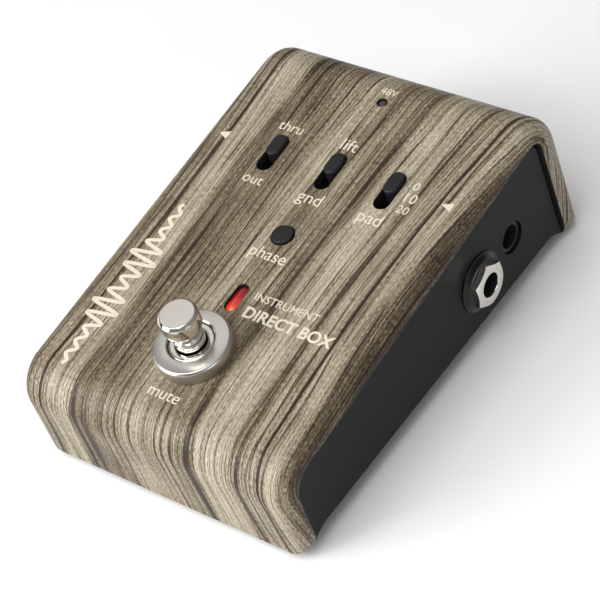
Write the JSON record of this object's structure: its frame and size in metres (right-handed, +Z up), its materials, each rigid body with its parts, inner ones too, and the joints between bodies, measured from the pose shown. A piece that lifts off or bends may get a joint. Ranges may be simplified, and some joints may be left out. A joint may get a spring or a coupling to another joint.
{
  "type": "direct injection box",
  "caption": "Wedge-shaped stage direct box with a wood-print cover, black side panels, a chrome footswitch, slide switches and side sockets.",
  "frame": {"origin": "on the table under the middle of the box", "axes": "+X to the right-hand socket panel, +Y to the high rear end, +Z up"},
  "size_m": [0.088, 0.1284, 0.0498],
  "materials": {
    "wood_print": "printed weathered grey-brown wood grain under a satin clear coat",
    "black_paint": "satin charcoal powder coat",
    "chrome": "polished nickel-chrome plate",
    "steel": "bright zinc plate",
    "brass": "gold-plated contacts",
    "black_plastic": "fine matte moulding",
    "switch_plastic": "satin black moulding",
    "red_lens": "clear red moulded lens",
    "dark_lens": "smoked indicator lens",
    "label_ink": "cream screen print",
    "board_green": "green solder mask",
    "capacitor_sleeve": "shrink sleeve",
    "rubber": "matte moulded rubber",
    "battery_jacket": "printed metal jacket",
    "red_cable": "flexible insulation",
    "black_cable": "flexible insulation"
  },
  "bodies": {
    "enclosure": {"top_cover": "wood_print", "base_tray": "black_paint", "door_hinge_pin": "steel", "battery": "battery_jacket", "battery_snap": "black_plastic", "battery_lead_red": "red_cable", "battery_lead_black": "black_cable", "main_board": "board_green", "board_screw_1": "steel", "board_screw_2": "steel", "board_screw_3": "steel", "board_screw_4": "steel", "output_driver_chip": "black_plastic", "filter_capacitor_1": "capacitor_sleeve", "filter_capacitor_2": "capacitor_sleeve", "output_switch_body": "black_plastic", "ground_switch_body": "black_plastic", "pad_switch_body": "black_plastic", "phase_switch_body": "black_plastic", "phantom_led": "dark_lens", "mute_lens": "red_lens", "mute_led": "red_lens", "footswitch_body": "black_plastic", "footswitch_bush": "chrome", "footswitch_lock_nut": "steel", "footswitch_collar": "chrome", "input_jack_body": "black_plastic", "input_jack_collar": "black_plastic", "input_jack_nut": "chrome", "output_jack_body": "black_plastic", "output_jack_collar": "black_plastic", "output_jack_nut": "chrome", "power_socket_body": "black_plastic", "power_socket_pin": "steel", "balanced_socket_shell": "steel", "balanced_socket_insert": "black_plastic", "balanced_socket_pin_1": "brass", "balanced_socket_pin_2": "brass", "balanced_socket_pin_3": "brass", "balanced_socket_screw_1": "steel", "balanced_socket_screw_2": "steel", "foot_1": "rubber", "foot_2": "rubber", "foot_3": "rubber", "foot_4": "rubber", "base_screw_1": "steel", "base_screw_2": "steel", "base_screw_3": "steel", "base_screw_4": "steel"},
    "footswitch": {"footswitch_plunger": "chrome"},
    "phase": {"phase_button": "switch_plastic"},
    "output_slider": {"output_switch_knob": "switch_plastic"},
    "ground_slider": {"ground_switch_knob": "switch_plastic"},
    "pad_slider": {"pad_switch_knob": "switch_plastic"},
    "door": {"battery_door": "black_plastic"}
  },
  "joints": [
    {"name": "footswitch_press", "type": "slide", "parent": "enclosure", "child": "footswitch", "axis": [0, 0.1184, -0.993], "range_m": [0, 0.003], "stiffness_N_per_m": 1500, "springref_m": -0.002},
    {"name": "phase_press", "type": "slide", "parent": "enclosure", "child": "phase", "axis": [0, 0.1184, -0.993], "range_m": [0, 0.0012], "stiffness_N_per_m": 400, "springref_m": -0.001},
    {"name": "output_slide", "type": "slide", "parent": "enclosure", "child": "output_slider", "axis": [0, -0.993, -0.1184], "range_m": [0, 0.0044]},
    {"name": "ground_slide", "type": "slide", "parent": "enclosure", "child": "ground_slider", "axis": [0, -0.993, -0.1184], "range_m": [0, 0.0044]},
    {"name": "pad_slide", "type": "slide", "parent": "enclosure", "child": "pad_slider", "axis": [0, -0.993, -0.1184], "range_m": [0, 0.0044]},
    {"name": "battery_door_hinge", "type": "hinge", "parent": "enclosure", "child": "door", "pos_m": [-0.02325, -0.0463, 0.0075], "axis": [-1, 0, 0], "range_deg": [0, 95]}
  ]
}
